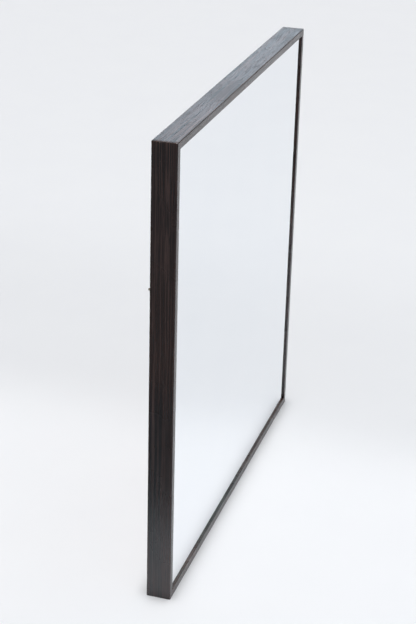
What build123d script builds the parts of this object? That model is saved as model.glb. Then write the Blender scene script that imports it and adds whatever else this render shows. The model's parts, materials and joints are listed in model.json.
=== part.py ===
from build123d import *
import math
import os

# A slim, almost square wall mirror in a deep box frame of dark planks.
# X runs across the frame, Y from its front to its back and Z up.
# The origin is the centre of the frame's underside. All sizes are in millimetres.

# Box frame: four planks, mitred at the corners. The mitre cuts run in from the outer corners by their reach.
frame_width = 813.0
frame_height = 838.0
frame_depth = 44.0
board_thickness = 12.5
board_edge_round = 1.2
mitre_reach = 100.0

# Layers behind the frame's front edge, from front to back.
mirror_recess = 3.4
glass_thickness = 4.0
mastic_thickness = 1.4
backer_thickness = 9.0
back_recess = 3.2

# Gaps left round the panels so that they drop in.
glass_clearance = 0.4
backer_clearance = 0.8
panel_clearance = 0.5

# Battens lining the inside of the frame, rebated for the back panel.
batten_width = 20.0
rebate_width = 8.0
rebate_depth = 3.4
panel_thickness = 3.0

# Hidden dowels across the mitres, two at each corner.
dowel_radius = 2.0
dowel_length = 10.0
dowel_spacing = 22.0

# Beads of mirror mastic between the glass and its backer.
bead_count = 5
bead_width = 18.0
bead_end_gap = 60.0

# Countersunk wood screws.
screw_radius = 1.8
screw_head_radius = 3.8
screw_head_height = 2.2
screw_tip_length = 4.0
screw_tip_radius = 0.4
cross_width = 0.8
cross_depth = 1.1
batten_screw_length = 28.0
backer_screw_length = 25.0
hole_gap = 0.05
screws_per_batten = 4
screw_end_gap = 70.0

# Turn buttons, which hold the back panel in.
button_thickness = 1.4
button_eye_radius = 5.0
button_tip_radius = 3.6
button_reach = 17.0
button_hole_gap = 0.07
button_face_gap = 0.1
button_rib_radius = 1.6
button_rib_height = 0.5
button_rib_start = 6.0
pivot_shoulder_radius = 1.9
pivot_shank_radius = 1.4
pivot_shank_length = 14.0
pivot_head_radius = 3.3
pivot_head_height = 1.5
pivot_head_round = 0.7

# Hanging hardware: one brass screw eye on each side batten.
eye_wire_radius = 1.1
eye_ring_radius = 4.4
eye_stand_off = 0.5
eye_shank_length = 16.0
eye_height_share = 0.692

# Rubber bumpers at the two bottom corners.
bumper_radius = 5.5
bumper_thickness = 5.0
bumper_edge_round = 1.2
bumper_inset = 26.0

# Where turn buttons sit along each side of the frame, as shares of its width or height.
button_shares_across = (0.25, 0.75)
button_shares_up = (0.25, 0.80)

# Planes and lengths that follow from the dimensions above.
half_width = frame_width / 2
front = -frame_depth / 2
back = frame_depth / 2
inner_half_width = half_width - board_thickness
inner_bottom = board_thickness
inner_top = frame_height - board_thickness
inner_width = 2 * inner_half_width
inner_height = inner_top - inner_bottom
inner_middle = (inner_top + inner_bottom) / 2
glass_front = front + mirror_recess
glass_back = glass_front + glass_thickness
backer_front = glass_back + mastic_thickness
backer_back = backer_front + backer_thickness
batten_back = back - back_recess
batten_depth = batten_back - backer_back
ledge_width = batten_width - rebate_width
flat_middle = ledge_width / 2
rebate_front = batten_back - rebate_depth
batten_middle_y = (backer_back + batten_back) / 2

low_corner = (Align.MIN, Align.MIN, Align.MIN)
top_face = (Align.CENTER, Align.CENTER, Align.MAX)
bottom_face = (Align.CENTER, Align.CENTER, Align.MIN)


def block(low, high):
    """A box from its lowest corner to its highest corner."""
    size = [high[i] - low[i] for i in range(3)]
    return Pos(*low) * Box(*size, align=low_corner)


def rod(radius, start, direction, length):
    """A cylinder that starts at a point and runs along a direction."""
    return Plane(origin=start, z_dir=direction) * Cylinder(radius, length, align=bottom_face)


def spread(low, high, count):
    """Evenly spaced places from low to high, both included."""
    step = (high - low) / (count - 1)
    return [low + step * i for i in range(count)]


def countersunk_screw(length):
    """A wood screw: its head's face is at the origin and it runs down -Z."""
    shank_length = length - screw_head_height - screw_tip_length
    head = Cone(screw_radius, screw_head_radius, screw_head_height, align=top_face)
    shank = Pos(0, 0, -screw_head_height) * Cylinder(screw_radius, shank_length, align=top_face)
    tip_start = -(screw_head_height + shank_length)
    tip = Pos(0, 0, tip_start) * Cone(screw_tip_radius, screw_radius, screw_tip_length, align=top_face)
    slot = Box(screw_head_radius, cross_width, cross_depth, align=top_face)
    cross = slot + Rot(0, 0, 90) * slot
    return head + shank + tip - cross


def screw_hole(length):
    """The hole that a countersunk screw sits in, a little larger all round."""
    head = Cone(
        screw_radius + hole_gap,
        screw_head_radius + hole_gap,
        screw_head_height,
        align=top_face,
    )
    shank = Cylinder(screw_radius + hole_gap, length + hole_gap, align=top_face)
    return head + shank


def pivot_screw():
    """A pan-headed screw with a shoulder for a turn button, standing on the batten's face."""
    shoulder_height = button_face_gap + button_thickness + button_face_gap
    shank = Cylinder(pivot_shank_radius, pivot_shank_length, align=top_face)
    shoulder = Cylinder(pivot_shoulder_radius, shoulder_height, align=bottom_face)
    head = Cylinder(pivot_head_radius, pivot_head_height, align=bottom_face)
    head = fillet(head.edges().group_by(Axis.Z)[-1], pivot_head_round)
    slot = Pos(0, 0, pivot_head_height) * Box(
        pivot_head_radius, cross_width, cross_depth, align=top_face
    )
    cross = slot + Rot(0, 0, 90) * slot
    return shank + shoulder + Pos(0, 0, shoulder_height) * (head - cross)


def turn_button():
    """A teardrop plate with a pivot hole at the origin and a pressed rib along its reach."""
    eye_outline = Circle(button_eye_radius).edges()
    tip_outline = (Pos(button_reach, 0) * Circle(button_tip_radius)).edges()
    outline = make_hull(eye_outline + tip_outline)
    plate = extrude(outline, button_thickness)
    hole = Cylinder(pivot_shoulder_radius + button_hole_gap, button_thickness, align=bottom_face)
    rib_middle = (button_rib_start + button_reach) / 2
    rib_length = button_reach - button_rib_start
    rib_outline = Pos(rib_middle, 0) * SlotCenterToCenter(rib_length, 2 * button_rib_radius)
    rib = Pos(0, 0, button_thickness) * extrude(rib_outline, button_rib_height, taper=35)
    return Pos(0, 0, button_face_gap) * (plate + rib - hole)


def screw_eye():
    """A ring of wire lying level on a straight shank that runs down -Z from the batten's face."""
    ring_middle = eye_stand_off + eye_wire_radius + eye_ring_radius
    ring = Pos(0, 0, ring_middle) * Rot(90, 0, 0) * Torus(eye_ring_radius, eye_wire_radius)
    shank_top = eye_stand_off + eye_wire_radius
    shank = Pos(0, 0, shank_top) * Cylinder(
        eye_wire_radius, eye_shank_length + shank_top, align=top_face
    )
    return ring + shank


def frame_ring():
    """The whole frame as one ring, its outer edges rounded. The underside stays square, to stand flat."""
    ring = block((-half_width, front, 0), (half_width, back, frame_height))
    ring -= block((-inner_half_width, front, inner_bottom), (inner_half_width, back, inner_top))
    outer_edges = ring.edges().filter_by(Axis.X).group_by(Axis.Z)[-1]
    upright_edges = ring.edges().filter_by(Axis.Z).group_by(Axis.X)
    outer_edges += upright_edges[0]
    outer_edges += upright_edges[-1]
    outer_edges += ring.edges().filter_by(Axis.Y).group_by(Axis.Z)[-1]
    return fillet(outer_edges, board_edge_round)


def mitred_wedge(corners):
    """A deep prism over one side of the ring, whose sloping ends are the mitres."""
    outline = make_face(Polyline(*corners, close=True))
    return Plane.XZ * extrude(outline, frame_depth, both=True)


def frame_boards():
    """The four planks, mitred where they meet: one ring, parted along the corner diagonals."""
    ring = frame_ring()
    low_left = (-half_width, 0)
    low_right = (half_width, 0)
    high_left = (-half_width, frame_height)
    high_right = (half_width, frame_height)
    inner_low_left = (-half_width + mitre_reach, mitre_reach)
    inner_low_right = (half_width - mitre_reach, mitre_reach)
    inner_high_left = (-half_width + mitre_reach, frame_height - mitre_reach)
    inner_high_right = (half_width - mitre_reach, frame_height - mitre_reach)
    return {
        "top_board": ring & mitred_wedge([high_left, high_right, inner_high_right, inner_high_left]),
        "bottom_board": ring & mitred_wedge([low_left, low_right, inner_low_right, inner_low_left]),
        "left_board": ring & mitred_wedge([low_left, high_left, inner_high_left, inner_low_left]),
        "right_board": ring & mitred_wedge([low_right, high_right, inner_high_right, inner_low_right]),
    }


def dowel_places():
    """Start point, direction, side board and long board of each dowel, square to its mitre."""
    side_middle = half_width - board_thickness / 2
    shift = dowel_length / 2 / math.sqrt(2)
    places = []
    for side, side_board in ((-1, "left_board"), (1, "right_board")):
        for level, up, long_board in (
            (board_thickness / 2, 1, "bottom_board"),
            (frame_height - board_thickness / 2, -1, "top_board"),
        ):
            for y in (-dowel_spacing / 2, dowel_spacing / 2):
                start = (side * (side_middle - shift), y, level - up * shift)
                places.append((start, (side, 0, up), side_board, long_board))
    return places


def battens():
    """Four rebated battens, the top and bottom ones running from side board to side board."""
    low, high = inner_bottom, inner_top
    side = inner_half_width
    bottom = block((-side, backer_back, low), (side, batten_back, low + batten_width))
    bottom -= block((-side, rebate_front, low + ledge_width), (side, batten_back, low + batten_width))
    top = block((-side, backer_back, high - batten_width), (side, batten_back, high))
    top -= block((-side, rebate_front, high - batten_width), (side, batten_back, high - ledge_width))
    low += batten_width
    high -= batten_width
    left = block((-side, backer_back, low), (-side + batten_width, batten_back, high))
    left -= block(
        (-side + ledge_width, rebate_front, low), (-side + batten_width, batten_back, high)
    )
    right = block((side - batten_width, backer_back, low), (side, batten_back, high))
    right -= block(
        (side - batten_width, rebate_front, low), (side - ledge_width, batten_back, high)
    )
    return {
        "top_batten": top,
        "bottom_batten": bottom,
        "left_batten": left,
        "right_batten": right,
    }


def batten_screw_places():
    """Head point, outward direction, batten and board of each screw through a batten."""
    across = spread(-inner_half_width + screw_end_gap, inner_half_width - screw_end_gap, screws_per_batten)
    up = spread(inner_bottom + screw_end_gap, inner_top - screw_end_gap, screws_per_batten)
    places = []
    for x in across:
        top_head = (x, batten_middle_y, inner_top - batten_width)
        bottom_head = (x, batten_middle_y, inner_bottom + batten_width)
        places.append((top_head, (0, 0, -1), "top_batten", "top_board"))
        places.append((bottom_head, (0, 0, 1), "bottom_batten", "bottom_board"))
    for z in up:
        left_head = (-inner_half_width + batten_width, batten_middle_y, z)
        right_head = (inner_half_width - batten_width, batten_middle_y, z)
        places.append((left_head, (1, 0, 0), "left_batten", "left_board"))
        places.append((right_head, (-1, 0, 0), "right_batten", "right_board"))
    return places


def backer_screw_places():
    """Head point and batten of each screw through the backer, staggered from the batten's own."""
    edge = batten_width / 2
    gap = (inner_width - 2 * screw_end_gap) / (screws_per_batten - 1)
    shifted = [-gap, 0.0, gap]
    places = []
    for offset in shifted:
        places.append(((offset, backer_front, inner_top - edge), "top_batten"))
        places.append(((offset, backer_front, inner_bottom + edge), "bottom_batten"))
        left_point = (-inner_half_width + edge, backer_front, inner_middle + offset)
        right_point = (inner_half_width - edge, backer_front, inner_middle + offset)
        places.append((left_point, "left_batten"))
        places.append((right_point, "right_batten"))
    return places


def button_places():
    """Name, pivot point, direction towards the panel and batten of each turn button."""
    places = []
    for share, side in zip(button_shares_across, ("left", "right")):
        x = -half_width + share * frame_width
        top_point = (x, batten_back, inner_top - flat_middle)
        bottom_point = (x, batten_back, inner_bottom + flat_middle)
        places.append(("top_button_" + side, top_point, (0, 0, -1), "top_batten"))
        places.append(("bottom_button_" + side, bottom_point, (0, 0, 1), "bottom_batten"))
    for share, level in zip(button_shares_up, ("lower", "upper")):
        z = share * frame_height
        left_point = (-inner_half_width + flat_middle, batten_back, z)
        right_point = (inner_half_width - flat_middle, batten_back, z)
        places.append(("left_button_" + level, left_point, (1, 0, 0), "left_batten"))
        places.append(("right_button_" + level, right_point, (-1, 0, 0), "right_batten"))
    return places


def mastic_beads():
    """Flat upright beads with rounded ends, between the glass and its backer."""
    bead_length = inner_height - 2 * bead_end_gap
    reach = inner_half_width - bead_end_gap
    outline = SlotOverall(bead_length, bead_width, rotation=90)
    beads = []
    for x in spread(-reach, reach, bead_count):
        face = Plane(origin=(x, backer_front, inner_middle), x_dir=(1, 0, 0), z_dir=(0, -1, 0))
        beads.append(face * extrude(outline, mastic_thickness))
    return beads


def framed_panel(low_y, thickness, inset):
    """A flat panel inside the frame, smaller than its opening by the inset all round."""
    low = (-inner_half_width + inset, low_y, inner_bottom + inset)
    high = (inner_half_width - inset, low_y + thickness, inner_top - inset)
    return block(low, high)


nodes = frame_boards()
nodes.update(battens())

# Corner dowels and the blind holes that they sit in, half in each plank.
dowels = []
for start, direction, side_board, long_board in dowel_places():
    seat = Plane(origin=start, z_dir=direction)
    dowels.append(seat * Cylinder(dowel_radius, dowel_length, align=bottom_face))
    hole_length = dowel_length + 2 * hole_gap
    hole = seat * Pos(0, 0, -hole_gap) * Cylinder(dowel_radius + hole_gap, hole_length, align=bottom_face)
    nodes[side_board] -= hole
    nodes[long_board] -= hole
nodes["corner_dowels"] = Compound(children=dowels)

# Screws that fix the battens to the planks.
batten_screws = []
for point, outward, batten, board in batten_screw_places():
    seat = Plane(origin=point, z_dir=outward)
    batten_screws.append(seat * countersunk_screw(batten_screw_length))
    nodes[batten] -= seat * screw_hole(batten_screw_length)
    nodes[board] -= seat * screw_hole(batten_screw_length)
nodes["batten_screws"] = Compound(children=batten_screws)

# Mirror glass, the board that it is bonded to and the mastic between them.
nodes["mirror_glass"] = framed_panel(glass_front, glass_thickness, glass_clearance)
backer = framed_panel(backer_front, backer_thickness, backer_clearance)
nodes["mirror_mastic"] = Compound(children=mastic_beads())

# Screws that fix the backer to the battens from the front, under the glass.
backer_screws = []
for point, batten in backer_screw_places():
    seat = Plane(origin=point, z_dir=(0, -1, 0))
    backer_screws.append(seat * countersunk_screw(backer_screw_length))
    backer -= seat * screw_hole(backer_screw_length)
    nodes[batten] -= seat * screw_hole(backer_screw_length)
nodes["mirror_backer"] = backer
nodes["backer_screws"] = Compound(children=backer_screws)

# Back panel, lying in the battens' rebates.
panel_inset = ledge_width + panel_clearance
nodes["back_panel"] = framed_panel(rebate_front, panel_thickness, panel_inset)

# Turn buttons on their pivot screws.
pivot_screws = []
for name, point, inward, batten in button_places():
    seat = Plane(origin=point, x_dir=inward, z_dir=(0, 1, 0))
    pivot_screws.append(seat * pivot_screw())
    nodes[name] = seat * turn_button()
    nodes[batten] -= rod(
        pivot_shank_radius + hole_gap, point, (0, -1, 0), pivot_shank_length + hole_gap
    )
nodes["pivot_screws"] = Compound(children=pivot_screws)

# Screw eyes, level with each other on the side battens.
eye_z = eye_height_share * frame_height
for name, side, batten in (("left_eye", -1, "left_batten"), ("right_eye", 1, "right_batten")):
    point = (side * (inner_half_width - flat_middle), batten_back, eye_z)
    seat = Plane(origin=point, x_dir=(1, 0, 0), z_dir=(0, 1, 0))
    nodes[name] = seat * screw_eye()
    nodes[batten] -= rod(
        eye_wire_radius + hole_gap, point, (0, -1, 0), eye_shank_length + hole_gap
    )

# Bumpers that keep the frame's lower corners off the wall.
bumpers = []
for side in (-1, 1):
    point = (side * (inner_half_width - bumper_inset), batten_back, inner_bottom + flat_middle)
    bumper = Cylinder(bumper_radius, bumper_thickness, align=bottom_face)
    bumper = fillet(bumper.edges().group_by(Axis.Z)[-1], bumper_edge_round)
    bumpers.append(Plane(origin=point, z_dir=(0, 1, 0)) * bumper)
nodes["wall_bumpers"] = Compound(children=bumpers)

os.makedirs("parts", exist_ok=True)
for name, shape in nodes.items():
    export_step(shape, "parts/" + name + ".step")
    print(name, round(shape.volume / 1000, 1), "cm3")
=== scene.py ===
import json
import math

import bpy
from mathutils import Matrix, Vector


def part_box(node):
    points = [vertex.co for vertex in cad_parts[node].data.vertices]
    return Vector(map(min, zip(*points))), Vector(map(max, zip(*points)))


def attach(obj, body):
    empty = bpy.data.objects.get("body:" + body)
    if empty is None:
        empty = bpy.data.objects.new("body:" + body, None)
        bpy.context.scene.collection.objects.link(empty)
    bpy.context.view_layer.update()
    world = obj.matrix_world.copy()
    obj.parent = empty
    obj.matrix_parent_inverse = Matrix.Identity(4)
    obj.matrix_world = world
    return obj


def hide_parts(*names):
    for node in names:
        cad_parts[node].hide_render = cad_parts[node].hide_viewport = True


# %% [markdown]
# # A slim box-framed mirror
#
# The real object is a shallow box of four dark planks with a mirror set just behind its front edges. Battens,
# a backing board and a loose back panel sit inside the box, and eight small turn buttons hold the panel in.
#
# The frame that carries all of it is already modelled and packed. This lesson loads that frame, keeps its
# sizes, and builds the visible surfaces round it: planks with a real grain, a silvered pane, pine battens,
# pressed steel buttons and brass hardware.

# %% Load the fixed frame
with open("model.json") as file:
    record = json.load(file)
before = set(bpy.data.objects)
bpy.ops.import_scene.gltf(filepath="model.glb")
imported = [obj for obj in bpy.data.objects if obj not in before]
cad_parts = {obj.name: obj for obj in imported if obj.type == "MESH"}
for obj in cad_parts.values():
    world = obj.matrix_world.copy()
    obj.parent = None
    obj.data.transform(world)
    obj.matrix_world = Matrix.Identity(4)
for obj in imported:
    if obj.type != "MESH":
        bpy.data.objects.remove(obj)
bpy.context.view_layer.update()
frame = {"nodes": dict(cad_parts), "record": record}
MM = 0.001

# %% [markdown]
# ## Sizes
#
# Every size below is read from the frame, so nothing is fitted by eye. Only small workshop habits, such as
# how much an edge is eased, are numbers of our own.

# %% Read the sizes
top_low, top_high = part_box("top_board")
bottom_low, bottom_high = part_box("bottom_board")
glass_low, glass_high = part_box("mirror_glass")
panel_low, panel_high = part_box("back_panel")

FRAME_HEIGHT = top_high.z
HALF_WIDTH = bottom_high.x
PLANK = top_high.z - top_low.z
EDGE_EASE = 1.6 * MM
HAIR = 0.01 * MM
print("frame", round(2 * HALF_WIDTH, 3), "by", round(FRAME_HEIGHT, 3), "plank", round(PLANK, 4))

# %% [markdown]
# ## Working by hand, in code
#
# A modeller clicks an object, goes into edit mode, picks faces or edges and runs an operator. The helpers
# below do the same. The frame's own nodes are still selected after loading, so everything is deselected
# before each step, and faces and edges are picked by where they are and which way they point.

# %% Helpers for selecting
def only(piece):
    """Leaves one piece selected and active, in object mode."""
    if bpy.context.object and bpy.context.object.mode != "OBJECT":
        bpy.ops.object.mode_set(mode="OBJECT")
    bpy.ops.object.select_all(action="DESELECT")
    piece.select_set(True)
    bpy.context.view_layer.objects.active = piece


def edit(piece, kind="FACE"):
    """Opens a piece in edit mode with nothing picked."""
    only(piece)
    bpy.ops.object.mode_set(mode="EDIT")
    bpy.ops.mesh.select_mode(type=kind)
    bpy.ops.mesh.select_all(action="DESELECT")


def pick_all(piece):
    """Opens a piece in edit mode with everything picked."""
    edit(piece)
    bpy.ops.mesh.select_all(action="SELECT")


def pick_faces(piece, wanted):
    """Opens a piece in edit mode with the faces picked whose middle and normal pass a test."""
    edit(piece, "FACE")
    bpy.ops.object.mode_set(mode="OBJECT")
    for face in piece.data.polygons:
        face.select = wanted(face.center, face.normal)
    bpy.ops.object.mode_set(mode="EDIT")


def give_picked(piece, slot):
    """Gives the picked faces the finish in one material slot."""
    piece.active_material_index = slot
    bpy.ops.object.material_slot_assign()
    done(piece)


def pick_edges(piece, wanted):
    """Opens a piece in edit mode with the edges picked whose two ends pass a test."""
    edit(piece, "EDGE")
    bpy.ops.object.mode_set(mode="OBJECT")
    mesh = piece.data
    for edge in mesh.edges:
        a, b = (mesh.vertices[i].co for i in edge.vertices)
        edge.select = wanted(a, b)
    bpy.ops.object.mode_set(mode="EDIT")


def above(level):
    """A test for edges that lie wholly above a level."""
    return lambda a, b: min(a.z, b.z) > level


def done(piece):
    """Leaves edit mode."""
    only(piece)
    return piece


def round_edges(piece, wanted, width, segments, slot=-1):
    """Rounds the edges that pass a test. The new faces take the finish beside them, or the one in a slot."""
    pick_edges(piece, wanted)
    bpy.ops.mesh.bevel(offset=width, segments=segments, profile=0.5, affect="EDGES", material=slot)
    done(piece)


# %% Helpers for making and finishing
def block(name, low, high):
    """A box between two corners, with its place in its mesh and its object at the origin."""
    bpy.ops.object.select_all(action="DESELECT")
    size = [high[i] - low[i] for i in range(3)]
    middle = [(high[i] + low[i]) / 2 for i in range(3)]
    bpy.ops.mesh.primitive_cube_add(size=1, location=middle)
    piece = bpy.context.object
    piece.name = name
    piece.scale = size
    settle(piece)
    return piece


def settle(piece):
    """Writes a piece's place, turn and scale into its mesh."""
    only(piece)
    bpy.ops.object.transform_apply(location=True, rotation=True, scale=True)


def clean(piece):
    """Merges doubles and points every face outwards."""
    pick_all(piece)
    bpy.ops.mesh.remove_doubles(threshold=0.00001)
    bpy.ops.mesh.normals_make_consistent(inside=False)
    return done(piece)


def smooth(piece, degrees):
    """Shades a piece smooth except over edges sharper than an angle."""
    only(piece)
    bpy.ops.object.shade_smooth_by_angle(angle=math.radians(degrees))


def apply_modifiers(piece):
    """Applies every modifier, top down."""
    only(piece)
    for modifier in list(piece.modifiers):
        bpy.ops.object.modifier_apply(modifier=modifier.name)


def place_copy(source, name):
    """A copy with its own mesh."""
    copy = source.copy()
    copy.data = source.data.copy()
    copy.name = name
    bpy.context.scene.collection.objects.link(copy)
    return copy


def join(pieces):
    """Makes several pieces into one, which keeps the first one's name."""
    only(pieces[0])
    for piece in pieces:
        piece.select_set(True)
    bpy.ops.object.join()
    return pieces[0]


def combine(piece, other, operation):
    """Runs a Boolean between a piece and another one, which is used up."""
    only(piece)
    bpy.ops.object.modifier_add(type="BOOLEAN")
    modifier = piece.modifiers[-1]
    modifier.operation = operation
    modifier.solver = "EXACT"
    modifier.object = other
    apply_modifiers(piece)
    bpy.data.objects.remove(other)


def cut_away(piece, cutter):
    """Cuts one piece out of another."""
    combine(piece, cutter, "DIFFERENCE")


def merge_in(piece, extra):
    """Makes one solid out of two that overlap."""
    combine(piece, extra, "UNION")


def triangles(piece):
    """How many triangles a piece has."""
    return sum(len(face.vertices) - 2 for face in piece.data.polygons)


# %% [markdown]
# ## Node groups that several finishes share
#
# Wood, fibreboard and painted steel all need the same few effects: streaks that run along the grain, worn
# edges and a little dust. On the dark planks the lighter edges are also a painted highlight. Each effect is a
# node group with named inputs and outputs, built once. The groups put out masks and heights only, and the
# shader stays in the material itself.

# %% Build node trees with few words
def new_group(name, inputs, outputs):
    """A node group with named sockets. Inputs are (name, kind, default)."""
    tree = bpy.data.node_groups.new(name, "ShaderNodeTree")
    for label, kind, default in inputs:
        socket = tree.interface.new_socket(label, in_out="INPUT", socket_type="NodeSocket" + kind)
        if default is not None:
            socket.default_value = default
    for label in outputs:
        tree.interface.new_socket(label, in_out="OUTPUT", socket_type="NodeSocketFloat")
    return tree, tree.nodes.new("NodeGroupInput"), tree.nodes.new("NodeGroupOutput")


def node(tree, kind, settings=None, **inputs):
    """Adds a node, sets its properties, and fills its inputs with values or links."""
    made = tree.nodes.new("ShaderNode" + kind)
    for key, value in (settings or {}).items():
        setattr(made, key, value)
    for key, value in inputs.items():
        feed(tree, made, key.replace("_", " "), value)
    return made


def put_out(tree, out, **sockets):
    """Links sockets to a group's outputs of the same names."""
    for label, socket in sockets.items():
        tree.links.new(socket, out.inputs[label])


def feed(tree, target, key, value):
    """Links a socket to an input, or sets the input's own value."""
    socket = target.inputs[int(key)] if key.isdigit() else target.inputs[key]
    if isinstance(value, bpy.types.NodeSocket):
        tree.links.new(value, socket)
    else:
        socket.default_value = value


def maths(tree, operation, a, b=None, clamp=False):
    """One Math node; a and b are numbers or sockets."""
    made = tree.nodes.new("ShaderNodeMath")
    made.operation = operation
    made.use_clamp = clamp
    feed(tree, made, "0", a)
    if b is not None:
        feed(tree, made, "1", b)
    return made.outputs[0]


def vector_maths(tree, operation, a, b=None):
    """One Vector Math node. b is a second vector, or the number for SCALE."""
    made = node(tree, "VectorMath", {"operation": operation}, **{"0": a})
    if b is not None:
        feed(tree, made, "Scale" if operation == "SCALE" else "1", b)
    return made.outputs[0]


def ramp(tree, value, low, high):
    """0 below low and 1 above high, with a smooth step between."""
    made = node(tree, "MapRange", {"interpolation_type": "SMOOTHSTEP"}, Value=value)
    made.inputs["From Min"].default_value = low
    made.inputs["From Max"].default_value = high
    return made.outputs["Result"]


def streak_noise(tree, vector, size, detail=1.0):
    """Noise that is drawn out along the grain. size is one streak's length and width in metres."""
    along, across = size
    cells = (1 / along, 1 / across, 1 / across)
    place = vector_maths(tree, "MULTIPLY", vector, cells)
    made = node(tree, "TexNoise", {}, Vector=place, Scale=1.0, Detail=detail, Roughness=0.5)
    return made.outputs["Fac"]


# %% Sizes of the grain, in metres along it and across it
FINE_STREAK = (0.060, 0.0011)
WIDE_STREAK = (0.320, 0.0023)
GROWTH_BAND = (0.45, 0.010)
OPEN_PORE = (0.040, 0.0009)
FINE_SHARE = 0.25
GRAIN_SWAY = 0.004
RING_WIDTH = 0.0034


# %% The long-grain group
def build_long_grain():
    """Streaks, growth bands and open pores. The grain runs along the vector's first axis."""
    inputs = [("Vector", "Vector", None), ("Fineness", "Float", 1.0)]
    tree, given, out = new_group("long_grain", inputs, ["Streaks", "Bands", "Pores", "Height"])
    scaled = vector_maths(tree, "SCALE", given.outputs["Vector"], given.outputs["Fineness"])
    drift = node(tree, "TexNoise", {}, Vector=scaled, Scale=9.0, Detail=1.0)
    sway = vector_maths(tree, "SCALE", drift.outputs["Color"], GRAIN_SWAY)
    vector = vector_maths(tree, "ADD", scaled, sway)
    fine = maths(tree, "MULTIPLY", streak_noise(tree, vector, FINE_STREAK, detail=2.0), FINE_SHARE)
    wide = maths(tree, "MULTIPLY", streak_noise(tree, vector, WIDE_STREAK), 1 - FINE_SHARE)
    streaks = ramp(tree, maths(tree, "ADD", fine, wide), 0.44, 0.60)
    bands = ramp(tree, streak_noise(tree, vector, GROWTH_BAND), 0.35, 0.65)
    pores = ramp(tree, streak_noise(tree, vector, OPEN_PORE), 0.56, 0.68)
    height = maths(tree, "SUBTRACT", maths(tree, "MULTIPLY", streaks, 0.5), pores)
    put_out(tree, out, Streaks=streaks, Bands=bands, Pores=pores, Height=height)
    return tree


# %% The end-grain group
def build_end_grain():
    """What the cut end of a plank shows: dots of open pores on faint growth rings."""
    inputs = [("Vector", "Vector", None), ("Ring Width", "Float", RING_WIDTH)]
    tree, given, out = new_group("end_grain", inputs, ["Rings", "Pores", "Height"])
    vector = given.outputs["Vector"]
    parts = node(tree, "SeparateXYZ", {}, Vector=vector)
    bend = node(tree, "TexNoise", {}, Vector=vector, Scale=60.0, Detail=1.0)
    bent = maths(tree, "MULTIPLY", bend.outputs["Fac"], GRAIN_SWAY)
    place = maths(tree, "DIVIDE", maths(tree, "ADD", parts.outputs["Z"], bent), given.outputs["Ring Width"])
    rings = ramp(tree, maths(tree, "SINE", maths(tree, "MULTIPLY", place, math.tau)), -0.8, 0.9)
    dots = node(tree, "TexVoronoi", {}, Vector=vector, Scale=1500.0, Randomness=1.0)
    pores = maths(tree, "SUBTRACT", 1.0, ramp(tree, dots.outputs["Distance"], 0.12, 0.34))
    height = maths(tree, "SUBTRACT", maths(tree, "MULTIPLY", rings, 0.3), pores)
    put_out(tree, out, Rings=rings, Pores=pores, Height=height)
    return tree


# %% The edge group: wear, and a painted highlight on the dark planks
def build_edge_wear_and_highlight():
    """A mask that is 1 along the edges of a box-shaped piece, broken up by noise.

    Centre and Half give the box. Along an edge two of the three distances to the faces are small at once."""
    inputs = [
        ("Vector", "Vector", None),
        ("Centre", "Vector", (0.0, 0.0, 0.0)),
        ("Half", "Vector", (0.1, 0.1, 0.1)),
        ("Width", "Float", 0.0015),
        ("Breakup", "Float", 0.5),
    ]
    tree, given, out = new_group("edge_wear_and_highlight", inputs, ["Wear"])
    offset = vector_maths(tree, "SUBTRACT", given.outputs["Vector"], given.outputs["Centre"])
    depth = vector_maths(tree, "SUBTRACT", given.outputs["Half"], vector_maths(tree, "ABSOLUTE", offset))
    parts = node(tree, "SeparateXYZ", {}, Vector=depth)
    x, y, z = (parts.outputs[axis] for axis in "XYZ")
    nearest = None
    for a, b in ((x, y), (y, z), (x, z)):
        far = maths(tree, "MAXIMUM", a, b)
        nearest = far if nearest is None else maths(tree, "MINIMUM", nearest, far)
    share = maths(tree, "DIVIDE", nearest, given.outputs["Width"])
    edge = maths(tree, "SUBTRACT", 1.0, share, clamp=True)
    rubbed = node(tree, "TexNoise", {}, Vector=given.outputs["Vector"], Scale=140.0, Detail=3.0)
    patch = ramp(tree, rubbed.outputs["Fac"], 0.40, 0.68)
    keep = node(tree, "Mix", {"data_type": "FLOAT"})
    tree.links.new(given.outputs["Breakup"], keep.inputs[0])
    keep.inputs[2].default_value = 1.0
    tree.links.new(patch, keep.inputs[3])
    put_out(tree, out, Wear=maths(tree, "MULTIPLY", edge, keep.outputs[0]))
    return tree


# %% The dust-and-handling group
def build_dust():
    """Very faint patches, from handling and dust, that change how shiny a surface is."""
    inputs = [("Vector", "Vector", None), ("Size", "Float", 0.05)]
    tree, given, out = new_group("handling", inputs, ["Patches", "Specks"])
    cells = vector_maths(tree, "DIVIDE", given.outputs["Vector"], given.outputs["Size"])
    patches = node(tree, "TexNoise", {}, Vector=cells, Scale=1.0, Detail=3.0)
    specks = node(tree, "TexNoise", {}, Vector=given.outputs["Vector"], Scale=900.0, Detail=1.0)
    patches = ramp(tree, patches.outputs["Fac"], 0.35, 0.68)
    put_out(tree, out, Patches=patches, Specks=ramp(tree, specks.outputs["Fac"], 0.66, 0.74))
    return tree


LONG_GRAIN = build_long_grain()
END_GRAIN = build_end_grain()
EDGE_WEAR_AND_HIGHLIGHT = build_edge_wear_and_highlight()
HANDLING = build_dust()
print("groups:", [tree.name for tree in (LONG_GRAIN, END_GRAIN, EDGE_WEAR_AND_HIGHLIGHT, HANDLING)])


# %% Start a material
def new_material(name):
    """A material with its node tree, its shader and the object coordinates that its patterns read."""
    material = bpy.data.materials.new(name)
    material.use_nodes = True
    tree = material.node_tree
    shader = tree.nodes["Principled BSDF"]
    coords = tree.nodes.new("ShaderNodeTexCoord").outputs["Object"]
    return material, tree, shader, coords


def use_group(tree, group, **inputs):
    """Places a node group in a material."""
    made = tree.nodes.new("ShaderNodeGroup")
    made.node_tree = group
    for key, value in inputs.items():
        feed(tree, made, key.replace("_", " "), value)
    return made


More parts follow.
